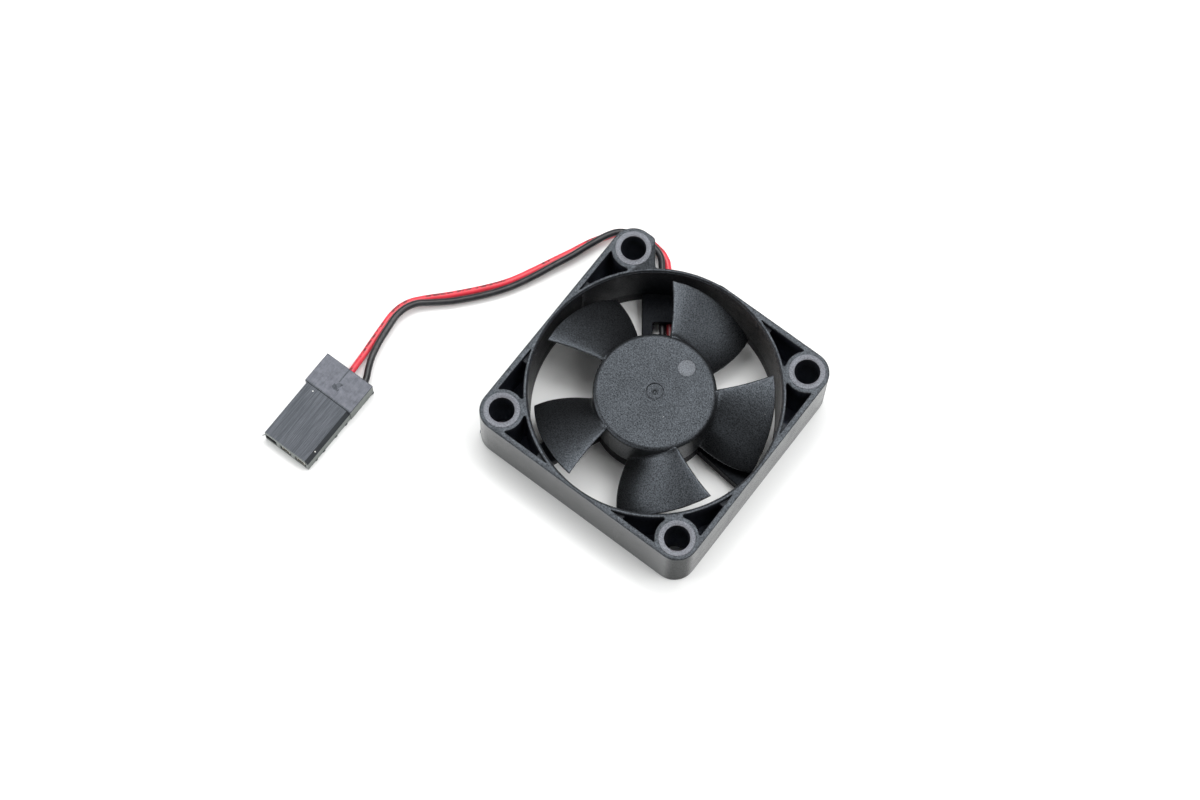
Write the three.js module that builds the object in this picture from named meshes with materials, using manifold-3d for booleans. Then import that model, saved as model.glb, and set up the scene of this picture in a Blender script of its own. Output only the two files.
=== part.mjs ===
// Square axial cooling fan with two leads and a three-position plug, the kind bolted on a motor
// speed controller. Millimetres, +Z up. The origin is the centre of the frame's bottom face, and
// +Z is the axis that the impeller spins about, pointing out of the intake side.
import * as THREE from "three";
import { mergeVertices } from "three/addons/utils/BufferGeometryUtils.js";
import Module from "manifold-3d";

const wasm = await Module();
wasm.setup();

// ---- driving dimensions -------------------------------------------------------------------
const PAST = 1; // how far a cutting tool runs past the face that it opens
const FIT = 0.05; // clearance between pieces that sit in each other

const FRAME = {
  side: 35,
  height: 10,
  cornerRadius: 3,
  holePitch: 29,
  holeRadius: 1.7,
  bossRadius: 3,
  spotRadius: 2.45, // smooth raised ring round each hole on the intake face
  spotRise: 0.08,
  ductRadius: 16.6,
  ringRadius: 17.5,
  lipRadius: 17.05, // the duct flares out to this at the intake face
  lipDepth: 0.7,
  wall: 0.8,
  pocketFloor: 1.5,
  webWidth: 2.4, // web between a corner boss and the ring
  webReach: [16, 20], // how far out along the diagonal the web runs
  ledgeReach: 7.6, // the ledge in a pocket's narrow end reaches this far from the side's middle
  ledgeDepth: 0.9,
  solidFrom: 15, // the lead corner is solid beyond this distance along its diagonal
};

const BASE = {
  radius: 8.2,
  thickness: 1.4,
  rimWall: 0.45,
  rimTop: 2.6,
  bossRadius: 3,
  bossTop: 2.85,
  boreFloor: 0.75,
  labelRadius: 7.2,
  labelDepth: 0.2,
};

// Two plain struts are wedges between two angles; the third carries the leads in a channel.
// Each runs from inside the base's rim wall to inside the ring.
const STRUT = { thickness: 2, span: [7.8, 17], wedges: [[-6.3, 5], [234.6, 245.9]] };
const LEAD_STRUT = {
  angle: 127,
  left: 1.5,
  right: -4.1,
  thickness: 2.2,
  channelLeft: 0,
  channelRight: -3.1,
  channelTop: 1.4,
  windowEnd: 12.5, // the window over the leads ends here, measured from the axis
  notchStart: 3.9,
  webCut: -0.1, // the corner stops on this line beside the leads
  wallStart: -2, // the side wall starts again at this X
};

const HUB = {
  radius: 8.3,
  top: 9.7,
  bottom: 3,
  edge: 0.45,
  wall: 0.65,
  crown: 0.8,
  postRadius: 1.7,
  postBottom: 7.7,
  markDepth: 0.1,
  gateRadius: 1.22, // shallow round recess where the mould was filled
  sideMark: { x: 1.37, y: 5.24, radius: 1.2 }, // plain round recess beside it
};
const BLADE = {
  count: 5,
  tipRadius: 16.1,
  highZ: 9.3,
  lowZ: 3.05,
  rootThickness: 0.7,
  tipThickness: 0.45,
  edgeShare: 0.35, // how much of the thickness is left at the two long edges
  camber: 0.35, // how much steeper the blade stands at its low edge
  highRootAngle: 326.5,
  highTipAngle: 333.6,
  lowRootAngle: 282.7,
  lowTipAngle: 289.4,
};

const SHAFT = { radius: 0.75, bottom: 1.05, top: 8.65, grooveRadius: 0.5, grooveZ: [1.55, 1.95] };
const TUBE = { outer: 2, inner: 1.62, bottom: 0.8, top: 7.35 };
const BEARING = { inner: 0.8, outer: 1.57, bottom: 2.3, top: 6.8 };
const YOKE = { outer: 7.6, inner: 7.1, bottom: 3.35, top: 8.85, crown: 0.5, holeRadius: 1.8 };
const MAGNET = { outer: 7.05, inner: 6.05, bottom: 3.6, top: 8.2 };
const STATOR = {
  poles: 4,
  bore: 2.05,
  core: 3.2,
  shoeInner: 5.1,
  shoeOuter: 5.75,
  shoeHalfAngle: 34,
  armWidth: 1.5,
  sheets: 4,
  sheetThickness: 0.5,
  bottom: 4.55,
};
const BOBBIN = { plate: 0.3, bottom: 3, top: 8, flangeInner: 5.1, flangeOuter: 5.4 };
const COIL = { inner: 3.45, outer: 4.65, width: 3.5, bottom: 3.55, top: 7.7, room: 0.15, edge: 0.7 };
const BOARD = { radius: 7.55, bore: 3.15, bottom: 1.47, top: 2.27 };

const LEAD_RADIUS = 0.48;
const PLUG = {
  x: -35.9,
  y: -20.6, // rear face, where the leads go in
  width: 7.85,
  length: 14,
  height: 2.65,
  rearLength: 4.9,
  pitch: 2.54,
  cavityWidth: 1.9,
  cavityHeight: 1.5,
  cavityZ: 1.3,
  chamfer: 0.55, // along one upper edge of the front part
  frontInsets: [0.35, 0.1, 0.12], // at its left side, right side and top
  latch: { halfWidth: 0.6, from: -6.4, to: -4.2 }, // window in the underside
};

// ---- small toolkit ------------------------------------------------------------------------
const radians = THREE.MathUtils.degToRad;

function toSolid(geometry) {
  const bare = geometry.clone();
  bare.deleteAttribute("normal");
  bare.deleteAttribute("uv");
  const merged = mergeVertices(bare, 1e-4);
  return new wasm.Manifold(
    new wasm.Mesh({
      numProp: 3,
      vertProperties: merged.attributes.position.array,
      triVerts: new Uint32Array(merged.index.array),
    }),
  );
}

function toGeometry(solid) {
  const mesh = solid.getMesh();
  const geometry = new THREE.BufferGeometry();
  geometry.setAttribute("position", new THREE.BufferAttribute(mesh.vertProperties, 3));
  geometry.setIndex(new THREE.BufferAttribute(mesh.triVerts, 1));
  geometry.computeVertexNormals();
  return geometry;
}

const join = (solids) => solids.reduce((whole, next) => whole.add(next));
const cut = (solid, tools) => tools.reduce((rest, tool) => rest.subtract(tool), solid);

function plate(shape, z0, z1, curveSegments = 6) {
  const geometry = new THREE.ExtrudeGeometry(shape, {
    depth: z1 - z0,
    bevelEnabled: false,
    curveSegments,
  });
  return geometry.translate(0, 0, z0);
}

function disc(radius, z0, z1, segments = 48) {
  const geometry = new THREE.CylinderGeometry(radius, radius, z1 - z0, segments);
  return geometry.rotateX(Math.PI / 2).translate(0, 0, (z0 + z1) / 2);
}

function block(x0, x1, y0, y1, z0, z1) {
  const geometry = new THREE.BoxGeometry(x1 - x0, y1 - y0, z1 - z0);
  return geometry.translate((x0 + x1) / 2, (y0 + y1) / 2, (z0 + z1) / 2);
}

// A body turned about +Z from a profile of [radius, z] points, inner wall first going down.
function turned(profile, segments = 48) {
  const points = profile.map(([r, z]) => new THREE.Vector2(r, z));
  return new THREE.LatheGeometry(points, segments).rotateX(Math.PI / 2);
}

// A plain washer or sleeve.
function sleeve(inner, outer, z0, z1, segments = 48) {
  const profile = [
    [inner, z1],
    [inner, z0],
    [outer, z0],
    [outer, z1],
    [inner, z1],
  ];
  return turned(profile, segments);
}

function roundedRectangle(width, height, radius) {
  const [w, h] = [width / 2, height / 2];
  const shape = new THREE.Shape();
  shape.absarc(w - radius, h - radius, radius, 0, Math.PI / 2);
  shape.absarc(radius - w, h - radius, radius, Math.PI / 2, Math.PI);
  shape.absarc(radius - w, radius - h, radius, Math.PI, 1.5 * Math.PI);
  shape.absarc(w - radius, radius - h, radius, 1.5 * Math.PI, 2 * Math.PI);
  return shape;
}

const polar = (r, angle) => new THREE.Vector2(r * Math.cos(angle), r * Math.sin(angle));

const corners = [[1, 1], [-1, 1], [-1, -1], [1, -1]].map(([sx, sy]) => ({
  x: (sx * FRAME.holePitch) / 2,
  y: (sy * FRAME.holePitch) / 2,
  angle: Math.atan2(sy, sx),
}));
const LEAD_CORNER = 1; // the corner that the leads leave at

// A block laid along the lead strut: from along0 to along1 outwards from the axis, and from
// right to left across it.
function alongLeadStrut(along0, along1, right, left, z0, z1) {
  return block(along0, along1, right, left, z0, z1).rotateZ(radians(LEAD_STRUT.angle));
}

// ---- frame --------------------------------------------------------------------------------
function cornerPockets() {
  const inner = FRAME.side - 2 * FRAME.wall;
  const top = FRAME.height + PAST;
  const floor = FRAME.pocketFloor;
  const square = toSolid(block(-inner / 2, inner / 2, -inner / 2, inner / 2, floor, top));
  const kept = [toSolid(disc(FRAME.ringRadius, 0, top + PAST, 72))];
  for (const { x, y, angle } of corners) {
    kept.push(toSolid(disc(FRAME.bossRadius, 0, top + PAST, 32).translate(x, y, 0)));
    const web = block(...FRAME.webReach, -FRAME.webWidth / 2, FRAME.webWidth / 2, 0, top + PAST);
    kept.push(toSolid(web.rotateZ(angle)));
  }
  // The lead corner is solid between its web and the lead channel.
  const beyond = FRAME.side; // past everything on that side
  const leadCorner = block(FRAME.solidFrom, beyond, -beyond / 2, FRAME.webWidth / 2, 0, top + PAST);
  kept.push(toSolid(leadCorner.rotateZ(corners[LEAD_CORNER].angle)));
  const reach = FRAME.ledgeReach;
  const ledgeTop = FRAME.height - FRAME.ledgeDepth;
  for (let side = 0; side < 4; side++) {
    const ledge = block(-reach, reach, FRAME.ringRadius - 2, FRAME.side / 2, 0, ledgeTop);
    kept.push(toSolid(ledge.rotateZ((side * Math.PI) / 2)));
  }
  return cut(square, kept);
}

// The open stretch of side wall beside the lead corner, outside the ring.
function leadGap() {
  const angle = radians(LEAD_STRUT.angle);
  const onCut = (along) => [
    along * Math.cos(angle) - LEAD_STRUT.webCut * Math.sin(angle),
    along * Math.sin(angle) + LEAD_STRUT.webCut * Math.cos(angle),
  ];
  const shape = new THREE.Shape();
  shape.moveTo(...onCut(15));
  shape.lineTo(LEAD_STRUT.wallStart, 15);
  shape.lineTo(LEAD_STRUT.wallStart, 20);
  shape.lineTo(...onCut(25));
  shape.closePath();
  const region = toSolid(plate(shape, -PAST, FRAME.height + PAST));
  return region.subtract(toSolid(disc(FRAME.ringRadius, -2 * PAST, FRAME.height + 2 * PAST, 72)));
}

function ductTool() {
  const { ductRadius, lipRadius, lipDepth, height } = FRAME;
  const profile = [
    [0, height + PAST],
    [0, -PAST],
    [ductRadius, -PAST],
    [ductRadius, height - lipDepth],
    [lipRadius, height - 0.1],
    [lipRadius, height + PAST],
    [0, height + PAST],
  ];
  return toSolid(turned(profile, 72));
}

function strutWedge([from, to]) {
  const [inner, outer] = STRUT.span;
  const [start, end] = [radians(from), radians(to)];
  const outline = [polar(inner, start), polar(outer, start), polar(outer, end), polar(inner, end)];
  return toSolid(plate(new THREE.Shape(outline), 0, STRUT.thickness));
}

function motorBase() {
  const { radius, thickness, rimWall, rimTop, bossRadius, bossTop } = BASE;
  const { right, left } = LEAD_STRUT;
  const parts = [
    toSolid(disc(radius, 0, thickness)),
    toSolid(sleeve(radius - rimWall, radius, thickness - FIT, rimTop)),
    toSolid(disc(bossRadius, thickness - FIT, bossTop)),
    ...STRUT.wedges.map(strutWedge),
    toSolid(alongLeadStrut(...STRUT.span, right, left, 0, LEAD_STRUT.thickness)),
  ];
  return join(parts);
}

function fanFrame() {
  const { side, height, cornerRadius, spotRise, spotRadius, holeRadius } = FRAME;
  const outline = roundedRectangle(side, side, cornerRadius);
  const shell = cut(toSolid(plate(outline, 0, height - spotRise, 8)), [
    ductTool(),
    cornerPockets(),
    leadGap(),
  ]);
  const spots = corners.map(({ x, y }) =>
    toSolid(disc(spotRadius, height - 1, height, 32).translate(x, y, 0)),
  );
  const holes = corners.map(({ x, y }) =>
    toSolid(disc(holeRadius, -PAST, height + PAST, 32).translate(x, y, 0)),
  );
  const { channelRight, channelLeft, channelTop, windowEnd, notchStart } = LEAD_STRUT;
  const channel = [
    alongLeadStrut(windowEnd - PAST, 21, channelRight, channelLeft, -PAST, channelTop),
    alongLeadStrut(BASE.radius - 0.7, windowEnd, channelRight, channelLeft, -PAST, 4),
    alongLeadStrut(notchStart, BASE.radius, channelRight, channelLeft, -PAST, BASE.thickness + PAST),
  ].map(toSolid);
  const bore = toSolid(disc(TUBE.outer + FIT, BASE.boreFloor, BASE.bossTop + PAST, 32));
  const labelRecess = toSolid(disc(BASE.labelRadius, -PAST, BASE.labelDepth));
  return cut(join([shell, motorBase(), ...spots]), [...holes, ...channel, bore, labelRecess]);
}

// ---- rotor --------------------------------------------------------------------------------
const mix = THREE.MathUtils.lerp;

// A point on the middle surface of a blade: out goes from the hub to the tip, and across goes
// from the low edge to the high edge.
function bladePoint(out, across) {
  const radius = mix(HUB.radius - HUB.wall / 2, BLADE.tipRadius, out);
  const low = mix(BLADE.lowRootAngle, BLADE.lowTipAngle, out * out);
  const high = mix(BLADE.highRootAngle, BLADE.highTipAngle, out);
  const angle = radians(mix(low, high, across));
  const rise = across * (1 + BLADE.camber - BLADE.camber * across);
  const z = mix(BLADE.lowZ, BLADE.highZ, rise);
  return new THREE.Vector3(radius * Math.cos(angle), radius * Math.sin(angle), z);
}

function blade() {
  const geometry = new THREE.BoxGeometry(1, 1, 1, 4, 7, 1);
  const position = geometry.attributes.position;
  const step = 1e-3;
  for (let i = 0; i < position.count; i++) {
    const out = position.getX(i) + 0.5;
    const across = position.getY(i) + 0.5;
    const point = bladePoint(out, across);
    const outward = bladePoint(out + step, across).sub(point);
    const upward = bladePoint(out, across + step).sub(point);
    const normal = outward.cross(upward).normalize();
    const edge = Math.min(1, 6 * Math.min(across, 1 - across) + BLADE.edgeShare);
    const thickness = mix(BLADE.rootThickness, BLADE.tipThickness, out) * edge;
    point.addScaledVector(normal, position.getZ(i) * thickness);
    position.setXYZ(i, point.x, point.y, point.z);
  }
  return geometry;
}

function impeller() {
  const { radius, top, bottom, edge, wall, crown, postRadius, postBottom } = HUB;
  const { markDepth, gateRadius, sideMark } = HUB;
  const profile = [[0, top - crown], [radius - wall, top - crown], [radius - wall, bottom]];
  profile.push([radius, bottom], [radius, top - edge]);
  for (const degrees of [30, 60]) {
    const a = radians(degrees);
    profile.push([radius - edge + edge * Math.cos(a), top - edge + edge * Math.sin(a)]);
  }
  profile.push([radius - edge, top], [0, top]);
  const blades = Array.from({ length: BLADE.count }, (_, k) =>
    toSolid(blade().rotateZ((2 * Math.PI * k) / BLADE.count)),
  );
  const hollow = toSolid(disc(radius - wall, bottom - PAST, top - crown));
  const cup = cut(join([toSolid(turned(profile)), ...blades]), [hollow]);
  const post = toSolid(disc(postRadius, postBottom, top - crown + FIT, 24));
  const { x, y, radius: sideRadius } = sideMark;
  return cut(join([cup, post]), [
    toSolid(disc(gateRadius, top - markDepth, top + PAST, 24)),
    toSolid(disc(sideRadius, top - markDepth, top + PAST, 24).translate(x, y, 0)),
    toSolid(disc(SHAFT.radius + FIT, postBottom - PAST, SHAFT.top + FIT, 24)),
  ]);
}

function rotorYoke() {
  const { outer, inner, bottom, top, crown, holeRadius } = YOKE;
  const profile = [
    [holeRadius, top],
    [holeRadius, top - crown],
    [inner, top - crown],
    [inner, bottom],
    [outer, bottom],
    [outer, top],
    [holeRadius, top],
  ];
  return turned(profile);
}

function shaft() {
  const { radius, bottom, top, grooveRadius, grooveZ } = SHAFT;
  const profile = [
    [0, bottom],
    [radius - 0.25, bottom],
    [radius, bottom + 0.2],
    [radius, grooveZ[0]],
    [grooveRadius, grooveZ[0]],
    [grooveRadius, grooveZ[1]],
    [radius, grooveZ[1]],
    [radius, top],
    [0, top],
  ];
  return turned(profile, 24);
}

// ---- stator -------------------------------------------------------------------------------
// One four-pole sheet: core ring, arms and pole shoes, with its arms wider by grow on each side.
function statorSheet(z0, z1, shoeOuter, grow) {
  const { poles, core, shoeInner, shoeHalfAngle, armWidth, bore } = STATOR;
  const half = armWidth / 2 + grow;
  const [atCore, atShoe] = [Math.asin(half / core), Math.asin(half / shoeInner)];
  const spread = radians(shoeHalfAngle);
  const outline = [];
  for (let k = 0; k < poles; k++) {
    const turn = (k * 2 * Math.PI) / poles;
    const toNext = Math.PI / poles;
    outline.push(polar(core, turn - toNext), polar(core, turn - (toNext + atCore) / 2));
    outline.push(polar(core, turn - atCore), polar(shoeInner, turn - atShoe));
    outline.push(polar(shoeInner, turn - (spread + atShoe) / 2), polar(shoeInner, turn - spread));
    for (let i = -3; i <= 3; i++) outline.push(polar(shoeOuter, turn + (spread * i) / 3));
    outline.push(polar(shoeInner, turn + spread), polar(shoeInner, turn + (spread + atShoe) / 2));
    outline.push(polar(shoeInner, turn + atShoe), polar(core, turn + atCore));
    outline.push(polar(core, turn + (toNext + atCore) / 2));
  }
  const shape = new THREE.Shape(outline);
  const facets = 24;
  const hole = Array.from({ length: facets }, (_, i) => polar(bore, (-2 * Math.PI * i) / facets));
  shape.holes.push(new THREE.Path(hole));
  return plate(shape, z0, z1);
}

// A moulded half: an insulating plate on the sheets, a hub, and a wall behind each coil.
function bobbin(z0, z1, wallFrom, wallTo) {
  const { flangeInner, flangeOuter } = BOBBIN;
  const parts = [statorSheet(z0, z1, flangeOuter, 0.1)];
  parts.push(sleeve(STATOR.bore + 0.2, STATOR.core - 0.1, wallFrom, wallTo, 24));
  for (let k = 0; k < STATOR.poles; k++) {
    const turn = (k * 2 * Math.PI) / STATOR.poles;
    const spread = radians(STATOR.shoeHalfAngle - 4);
    const wall = [-3, -1, 1, 3].map((i) => polar(flangeOuter - 0.02, turn + (spread * i) / 3));
    wall.push(...[3, 1, -1, -3].map((i) => polar(flangeInner + 0.02, turn + (spread * i) / 3)));
    parts.push(plate(new THREE.Shape(wall), wallFrom, wallTo));
  }
  return join(parts.map(toSolid));
}

function coil(turn) {
  const { inner, outer, width, bottom, top, room, edge } = COIL;
  const middle = (bottom + top) / 2;
  const armHalf = STATOR.armWidth / 2 + room;
  const armBottom = STATOR.bottom - BOBBIN.plate - room;
  const armTop = statorTop + BOBBIN.plate + room;
  const outline = roundedRectangle(width, top - bottom, edge);
  const opening = new THREE.Path();
  opening.moveTo(-armHalf, armBottom - middle);
  opening.lineTo(armHalf, armBottom - middle);
  opening.lineTo(armHalf, armTop - middle);
  opening.lineTo(-armHalf, armTop - middle);
  opening.closePath();
  outline.holes.push(opening);
  const winding = plate(outline, inner, outer, 4);
  winding.rotateX(Math.PI / 2).rotateZ(Math.PI / 2); // stands it round the arm that points along +X
  return winding.translate(0, 0, middle).rotateZ(turn);
}

const sheetPitch = STATOR.sheetThickness + FIT;
const statorTop = STATOR.bottom + STATOR.sheets * sheetPitch - FIT;

// ---- leads and plug -----------------------------------------------------------------------
// Centre line of each lead: from its solder joint out through the strut's channel, round the
// lead corner, over the surface that the fan stands on, and up into the plug.
const BLACK_ROUTE = [
  [-2.17, 5.12, 0.72],
  [-3.74, 7.2, 0.72],
  [-5.54, 9.6, 0.72],
  [-7.35, 11.99, 0.72],
  [-9.15, 14.39, 0.75],
  [-10.65, 16.4, 0.9],
  [-11.65, 17.6, 1.05],
  [-12.3, 18.35, 1.2],
  [-13, 18.8, 1.35],
  [-14.05, 19.1, 1.45],
  [-15.15, 19.2, 1.5],
  [-16.8, 19.05, 1.5],
  [-18.35, 18.6, 1.5],
  [-19.55, 17.8, 1.5],
  [-20.45, 16.45, 1.45],
  [-21.2, 14.7, 1.4],
  [-21.95, 12.75, 1.3],
  [-22.35, 11.6, 1.25],
  [-23.55, 8.8, 1.15],
  [-24.8, 5.8, 1.05],
  [-26.45, 2.5, 0.95],
  [-28.4, -0.35, 0.95],
  [-31.5, -3.95, 0.95],
  [-33.55, -5.85, 1.1],
  [-35.05, -7.25, 1.25],
  [-35.8, -8.6, 1.3],
  [-36.15, -10.3, 1.25],
  [-36, -12.3, 1.2],
  [-35.65, -14.9, 1.1],
  [-35.15, -16.95, 1],
  [-34.45, -18.6, 1.1],
  [-33.75, -19.95, 1.2],
  [-33.36, -21.4, 1.3],
  [-33.36, -23.2, 1.3],
];
const RED_ROUTE = [
  [-1.35, 5.74, 0.72],
  [-2.91, 7.82, 0.72],
  [-4.72, 10.22, 0.72],
  [-6.52, 12.61, 0.72],
  [-8.33, 15.01, 0.7],
  [-9.75, 16.9, 0.6],
  [-10.95, 18.1, 0.5],
  [-11.6, 18.75, 0.5],
  [-12.2, 19.1, 0.5],
  [-12.85, 19.4, 0.5],
  [-13.6, 19.55, 0.5],
  [-14.85, 19.7, 0.5],
  [-16.55, 19.55, 0.5],
  [-18.25, 19.05, 0.5],
  [-19.7, 17.95, 0.5],
  [-20.6, 16.65, 0.5],
  [-21.55, 15.1, 0.5],
  [-22.4, 13.35, 0.5],
  [-22.85, 12.25, 0.5],
  [-24.1, 9.55, 0.5],
  [-25.45, 6.6, 0.5],
  [-27.1, 3.35, 0.5],
  [-29.1, 0.55, 0.5],
  [-32.2, -3.1, 0.5],
  [-34.85, -5.9, 0.5],
  [-36.05, -7.4, 0.5],
  [-36.65, -8.75, 0.5],
  [-36.9, -10.5, 0.5],
  [-36.8, -12.4, 0.5],
  [-36.6, -14.85, 0.5],
  [-36.35, -17.15, 0.6],
  [-36.1, -19.35, 1],
  [-35.9, -21.4, 1.3],
  [-35.9, -23.2, 1.3],
];
const LEAD_STEPS = 34;

function lead(route) {
  const path = new THREE.CatmullRomCurve3(route.map((point) => new THREE.Vector3(...point)));
  const sides = 8;
  const around = Array.from({ length: sides }, (_, i) => (2 * Math.PI * i) / sides);
  const section = new THREE.Shape(around.map((angle) => polar(LEAD_RADIUS, angle)));
  return new THREE.ExtrudeGeometry(section, { steps: LEAD_STEPS, extrudePath: path });
}

function solderJoint([x, y]) {
  const along = 0.9; // the joint sits this far inside the lead's end
  const angle = radians(LEAD_STRUT.angle);
  const cone = turned([[0, 0.45], [0.3, 0.5], [0.47, 1.1], [0.47, 1.42], [0, 1.42]], 16);
  return cone.translate(x - along * Math.cos(angle), y - along * Math.sin(angle), 0);
}

function plugHousing() {
  const { width, length, height, rearLength, pitch, cavityWidth, cavityHeight, cavityZ } = PLUG;
  const { chamfer, frontInsets, latch } = PLUG;
  const half = width / 2;
  const rear = block(-half, half, -rearLength, 0, 0, height);
  const [left, right, top] = [frontInsets[0] - half, half - frontInsets[1], height - frontInsets[2]];
  const front = new THREE.Shape();
  front.moveTo(left, 0);
  front.lineTo(right, 0);
  front.lineTo(right, top - chamfer);
  front.lineTo(right - chamfer, top);
  front.lineTo(left, top);
  front.closePath();
  const frontBlock = plate(front, rearLength - 0.5, length).rotateX(Math.PI / 2);
  const tools = [];
  for (const slot of [-1, 0, 1]) {
    const x = slot * pitch;
    const [low, high] = [cavityZ - cavityHeight / 2, cavityZ + cavityHeight / 2];
    const [from, to] = [x - cavityWidth / 2, x + cavityWidth / 2];
    tools.push(block(from, to, -length - PAST, PAST, low, high));
    const [near, far] = [x - latch.halfWidth, x + latch.halfWidth];
    tools.push(block(near, far, latch.from, latch.to, -PAST, cavityZ));
  }
  return toGeometry(cut(join([toSolid(rear), toSolid(frontBlock)]), tools.map(toSolid)));
}

// A crimp socket: a square tube that takes the pin, a neck, and a barrel crimped on the wire.
function terminal() {
  const box = toSolid(block(-0.75, 0.75, -13.2, -7.2, -0.58, 0.58));
  const bore = toSolid(block(-0.55, 0.55, -13.2 - PAST, -7.5, -0.38, 0.38));
  const neck = toSolid(block(-0.45, 0.45, -7.3, -5.2, -0.58, -0.2));
  const barrel = toSolid(disc(0.56, 2.95, 5.3, 12).rotateX(Math.PI / 2));
  return toGeometry(join([box.subtract(bore), neck, barrel]));
}

// ---- materials ----------------------------------------------------------------------------
const finishes = {
  frame_black: [0x1c1e20, 0.62, 0],
  impeller_black: [0x232527, 0.7, 0],
  insulation_red: [0xc4141f, 0.4, 0],
  insulation_black: [0x0e0e10, 0.38, 0],
  plug_black: [0x24262a, 0.5, 0],
  tinned_metal: [0xc9c6bd, 0.3, 1],
  brass: [0xb08d45, 0.35, 1],
  sintered_bronze: [0x8f6a3c, 0.55, 1],
  steel: [0xb9bcc0, 0.25, 1],
  silicon_steel: [0x6d7075, 0.45, 1],
  magnet: [0x2b2725, 0.75, 0],
  nylon: [0xe8e6dc, 0.5, 0],
  copper_enamel: [0xa3501f, 0.35, 0.6],
  board_green: [0x1d5a34, 0.5, 0],
  chip_black: [0x141416, 0.5, 0],
  ceramic_tan: [0xb89a74, 0.5, 0],
  label_silver: [0xb8bcc0, 0.4, 0.2],
  solder: [0xa9abad, 0.35, 1],
};
const materials = Object.fromEntries(
  Object.entries(finishes).map(([name, [color, roughness, metalness]]) => [
    name,
    new THREE.MeshStandardMaterial({ name, color, roughness, metalness }),
  ]),
);

const fan = new THREE.Group();
fan.name = "cooling_fan";
const stator = new THREE.Group();
const rotor = new THREE.Group();
const cord = new THREE.Group();
fan.add(stator, rotor, cord);

function addPiece(group, name, geometry, finish, position = [0, 0, 0]) {
  const mesh = new THREE.Mesh(geometry, materials[finish]);
  mesh.name = name;
  mesh.position.set(...position);
  group.add(mesh);
}

// Fixed pieces
addPiece(stator, "fan_frame", toGeometry(fanFrame()), "frame_black");
addPiece(stator, "rating_label", disc(BASE.labelRadius - 0.1, 0.04, 0.16), "label_silver");
addPiece(stator, "bearing_tube", sleeve(TUBE.inner, TUBE.outer, TUBE.bottom, TUBE.top, 32), "brass");
addPiece(
  stator,
  "sleeve_bearing",
  sleeve(BEARING.inner, BEARING.outer, BEARING.bottom, BEARING.top, 24),
  "sintered_bronze",
);
addPiece(stator, "thrust_pad", disc(1.5, 0.8, 1, 24), "nylon");
addPiece(stator, "oil_seal_ring", sleeve(0.9, 1.55, 6.9, 7.2, 24), "nylon");
for (let i = 0; i < STATOR.sheets; i++) {
  const z0 = STATOR.bottom + i * sheetPitch;
  const sheet = statorSheet(z0, z0 + STATOR.sheetThickness, STATOR.shoeOuter, 0);
  addPiece(stator, `stator_lamination_${i + 1}`, sheet, "silicon_steel");
}
const upperPlate = statorTop + FIT;
const lowerPlate = STATOR.bottom - FIT;
addPiece(
  stator,
  "bobbin_upper",
  toGeometry(bobbin(upperPlate, upperPlate + BOBBIN.plate, upperPlate, BOBBIN.top)),
  "nylon",
);
addPiece(
  stator,
  "bobbin_lower",
  toGeometry(bobbin(lowerPlate - BOBBIN.plate, lowerPlate, BOBBIN.bottom, lowerPlate)),
  "nylon",
);
for (let k = 0; k < STATOR.poles; k++) {
  addPiece(stator, `coil_${k + 1}`, coil((k * 2 * Math.PI) / STATOR.poles), "copper_enamel");
}
addPiece(
  stator,
  "circuit_board",
  sleeve(BOARD.bore, BOARD.radius, BOARD.bottom, BOARD.top),
  "board_green",
);
const onBoard = BOARD.top + FIT;
addPiece(stator, "hall_driver", block(-1.45, 1.45, -0.8, 0.8, 0, 0.75), "chip_black", [
  4.1,
  -4.1,
  onBoard,
]);
addPiece(stator, "chip_capacitor", block(-0.8, 0.8, -0.4, 0.4, 0, 0.5), "ceramic_tan", [
  -4.6,
  -3.2,
  onBoard,
]);
addPiece(stator, "chip_diode", block(-0.7, 0.7, -0.4, 0.4, 0, 0.5), "chip_black", [4.4, 4, onBoard]);
addPiece(stator, "solder_joint_black", solderJoint(BLACK_ROUTE[0]), "solder");
addPiece(stator, "solder_joint_red", solderJoint(RED_ROUTE[0]), "solder");

// Turning pieces
addPiece(rotor, "impeller", toGeometry(impeller()), "impeller_black");
addPiece(rotor, "rotor_yoke", rotorYoke(), "steel");
addPiece(
  rotor,
  "ring_magnet",
  sleeve(MAGNET.inner, MAGNET.outer, MAGNET.bottom, MAGNET.top),
  "magnet",
);
addPiece(rotor, "shaft", shaft(), "steel");
addPiece(rotor, "retaining_washer", sleeve(0.55, 1.35, 1.65, 1.85, 24), "nylon");

// Leads and plug
addPiece(cord, "black_lead", lead(BLACK_ROUTE), "insulation_black");
addPiece(cord, "red_lead", lead(RED_ROUTE), "insulation_red");
addPiece(cord, "plug_housing", plugHousing(), "plug_black", [PLUG.x, PLUG.y, 0]);
addPiece(cord, "terminal_red", terminal(), "tinned_metal", [PLUG.x, PLUG.y, PLUG.cavityZ]);
addPiece(cord, "terminal_black", terminal(), "tinned_metal", [
  PLUG.x + PLUG.pitch,
  PLUG.y,
  PLUG.cavityZ,
]);

export default fan;
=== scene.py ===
"""Square cooling fan with two leads and a plug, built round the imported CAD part."""

import math

import bmesh
import bpy
import numpy as np
from mathutils import Matrix, Vector
from mathutils.geometry import delaunay_2d_cdt


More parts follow.
